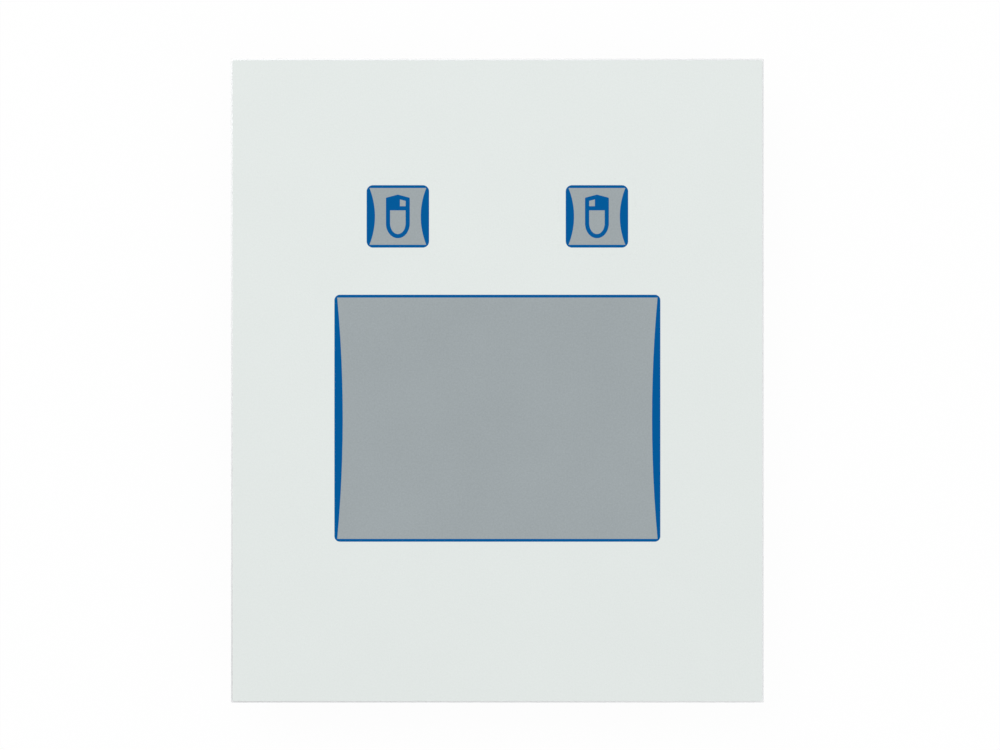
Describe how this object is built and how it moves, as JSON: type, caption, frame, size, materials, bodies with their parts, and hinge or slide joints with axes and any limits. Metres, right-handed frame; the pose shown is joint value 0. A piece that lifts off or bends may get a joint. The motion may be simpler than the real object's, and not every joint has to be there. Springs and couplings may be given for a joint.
{
  "type": "panel-mount touchpad",
  "caption": "Flat rectangular panel-mount touchpad module: printed film on an aluminium plate, touch field below short-travel mouse keys, sheet-metal rear cover.",
  "frame": {"origin": "centre of the outline, at the outer face of the rear cover", "axes": "+Z out of the touch surface, +Y from the touch field towards the keys, +X to the right seen from the front"},
  "size_m": [0.1062, 0.1284, 0.017],
  "materials": {
    "pale_film": "fine-textured polyester, pale green-grey",
    "blue_ink": "printed blue under a fine texture",
    "grey_ink": "printed grey under a fine texture",
    "adhesive": "transparent adhesive layer",
    "anodised_plate": "brushed and clear anodised",
    "circuit_board": "green solder mask",
    "chip_plastic": "moulded chip housing",
    "chip_ceramic": "ceramic chip parts",
    "socket_plastic": "heat-proof moulded plastic",
    "cable_foil": "laminated flat cable",
    "foam": "closed-cell foam",
    "backing_sheet": "mill finish",
    "zinc_screws": "bright zinc plated",
    "crystal_can": "drawn can",
    "socket_steel": "tin plated sheet",
    "contact_gold": "gold plated",
    "cover_sheet_metal": "zinc coated sheet, satin",
    "gasket_rubber": "cellular rubber",
    "plunger_plastic": "natural acetal",
    "stem_plastic": "black moulded plastic",
    "switch_plastic": "black moulded plastic",
    "dome_steel": "spring steel"
  },
  "bodies": {
    "panel": {"front_plate": "anodised_plate", "film_adhesive": "adhesive", "front_film": "pale_film", "touch_outline_print": "blue_ink", "touch_field_print": "grey_ink", "left_switch_base": "switch_plastic", "left_switch_cover": "socket_steel", "left_switch_dome": "dome_steel", "left_switch_terminals": "socket_steel", "right_switch_base": "switch_plastic", "right_switch_cover": "socket_steel", "right_switch_dome": "dome_steel", "right_switch_terminals": "socket_steel", "touch_sensor_board": "circuit_board", "touch_controller_chip": "chip_plastic", "sensor_small_parts": "chip_ceramic", "sensor_cable_socket": "socket_plastic", "board_cable_socket": "socket_plastic", "sensor_flat_cable": "cable_foil", "sensor_foam_pad": "foam", "sensor_backing_plate": "backing_sheet", "backing_plate_screws": "zinc_screws", "controller_board": "circuit_board", "usb_controller_chip": "chip_plastic", "voltage_regulator": "chip_plastic", "board_small_parts": "chip_ceramic", "clock_crystal": "crystal_can", "usb_socket_shell": "socket_steel", "usb_socket_tongue": "socket_plastic", "usb_socket_contacts": "contact_gold", "plate_spacers": "zinc_screws", "cover_spacers": "zinc_screws", "rear_cover": "cover_sheet_metal", "cover_screws": "zinc_screws", "panel_gasket": "gasket_rubber", "mounting_studs": "zinc_screws"},
    "left_key": {"left_key_film": "pale_film", "left_key_line_print": "blue_ink", "left_key_ground_print": "grey_ink", "left_key_plunger": "plunger_plastic", "left_switch_stem": "stem_plastic"},
    "right_key": {"right_key_film": "pale_film", "right_key_line_print": "blue_ink", "right_key_ground_print": "grey_ink", "right_key_plunger": "plunger_plastic", "right_switch_stem": "stem_plastic"}
  },
  "joints": [
    {"name": "left_key_press", "type": "slide", "parent": "panel", "child": "left_key", "axis": [0, 0, -1], "range_m": [0, 0.0004], "stiffness_N_per_m": 5000, "springref_m": -0.0001, "deforming": ["left_switch_dome"]},
    {"name": "right_key_press", "type": "slide", "parent": "panel", "child": "right_key", "axis": [0, 0, -1], "range_m": [0, 0.0004], "stiffness_N_per_m": 5000, "springref_m": -0.0001, "deforming": ["right_switch_dome"]}
  ]
}
